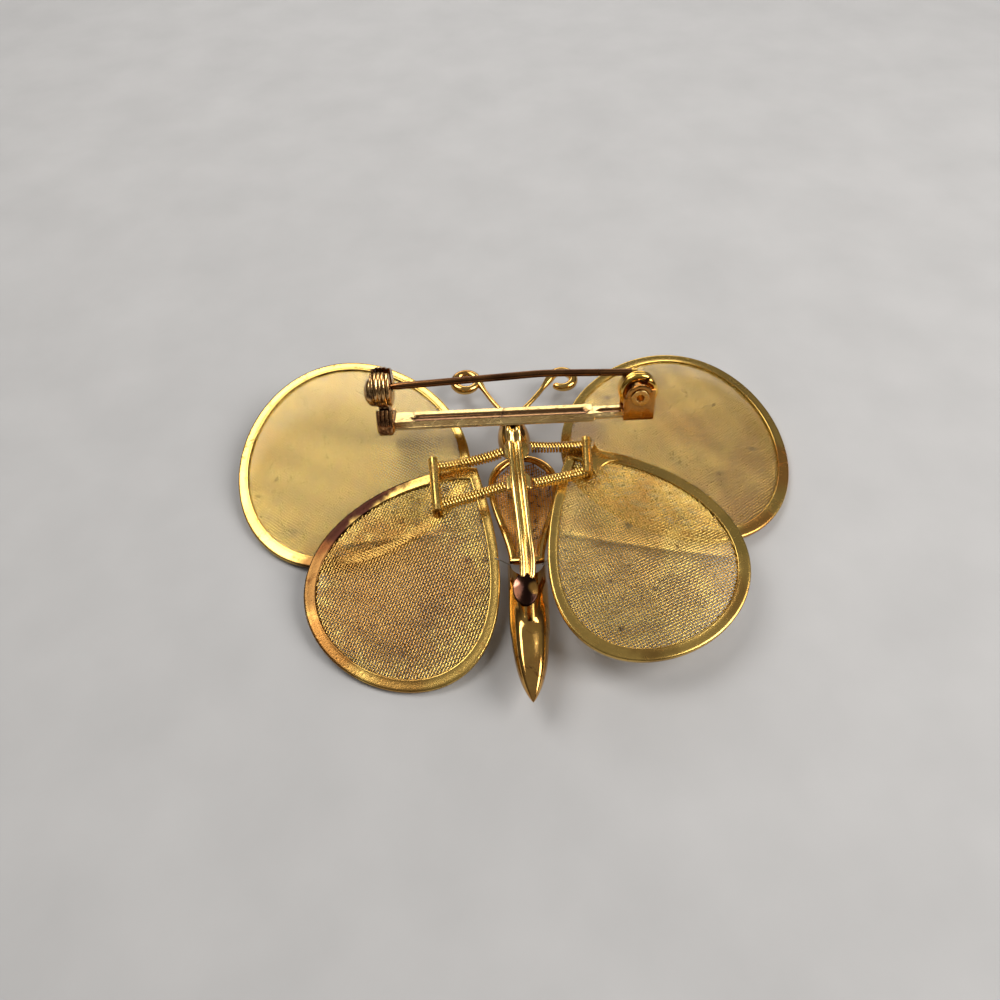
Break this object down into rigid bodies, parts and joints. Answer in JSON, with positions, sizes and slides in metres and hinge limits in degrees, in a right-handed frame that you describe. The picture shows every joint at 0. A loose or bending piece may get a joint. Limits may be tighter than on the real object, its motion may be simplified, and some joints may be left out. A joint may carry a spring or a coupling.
{
  "type": "butterfly brooch",
  "caption": "Gold-tone mesh butterfly brooch, lying face down: gauze wings that tremble on coil springs, a sheet body with curled antennae, and a bar pin with a turning safety catch.",
  "frame": {"origin": "on the surface that the brooch lies on, under the middle of its whole box", "axes": "+Z out of the brooch's back, +Y toward the head, +X to the right as the back is seen"},
  "size_m": [0.059, 0.0406, 0.013],
  "materials": {
    "rim_metal": "satin gold-tone plate, worn to copper on its edges",
    "wing_gauze": "woven gold-tone wire, tarnished in places",
    "thorax_gauze": "woven gold-tone wire, darkly tarnished",
    "spring_wire": "bright drawn wire",
    "stem_metal": "pressed gold-tone strip, bright on its ridges",
    "body_metal": "polished gold-tone sheet, tarnished in its folds",
    "bar_metal": "pale gold-tone plate, pitted, dark in its groove",
    "pin_metal": "dark bronze wire with a bright coil",
    "catch_metal": "dark tarnished bronze with bright ribs"
  },
  "bodies": {
    "root": {"stem": "stem_metal", "thorax_rim": "body_metal", "thorax_gauze": "thorax_gauze", "abdomen": "body_metal", "head": "body_metal", "pin_bar": "bar_metal", "hinge_rivet": "pin_metal", "catch_housing": "catch_metal", "spring_upper_left": "spring_wire", "spring_lower_left": "spring_wire", "spring_upper_right": "spring_wire", "spring_lower_right": "spring_wire"},
    "needle": {"needle": "pin_metal"},
    "catch_roller": {"catch_roller": "catch_metal"},
    "left_wings": {"wing_frame_left": "rim_metal", "gauze_upper_left": "wing_gauze", "gauze_lower_left": "wing_gauze"},
    "right_wings": {"wing_frame_right": "rim_metal", "gauze_upper_right": "wing_gauze", "gauze_lower_right": "wing_gauze"}
  },
  "joints": [
    {"name": "needle_hinge", "type": "hinge", "parent": "root", "child": "needle", "pos_m": [0.0124, 0.00841, 0.00988], "axis": [0.025, 0.97, -0.2419], "range_deg": [0, 100]},
    {"name": "catch_turn", "type": "hinge", "parent": "root", "child": "catch_roller", "pos_m": [-0.0127, 0.00934, 0.01104], "axis": [0.9996, -0.0218, 0.0157], "range_deg": [0, 90]},
    {"name": "wing_tremble_left", "type": "hinge", "parent": "root", "child": "left_wings", "pos_m": [-0.00428, 0.002, 0.00594], "axis": [0, 1, 0], "range_deg": [-4, 6], "stiffness_Nm_per_rad": 0.01, "deforming": ["spring_upper_left", "spring_lower_left"]},
    {"name": "wing_tremble_right", "type": "hinge", "parent": "root", "child": "right_wings", "pos_m": [0.00412, 0.002, 0.00594], "axis": [0, -1, 0], "range_deg": [-4, 6], "stiffness_Nm_per_rad": 0.01, "deforming": ["spring_upper_right", "spring_lower_right"]}
  ]
}
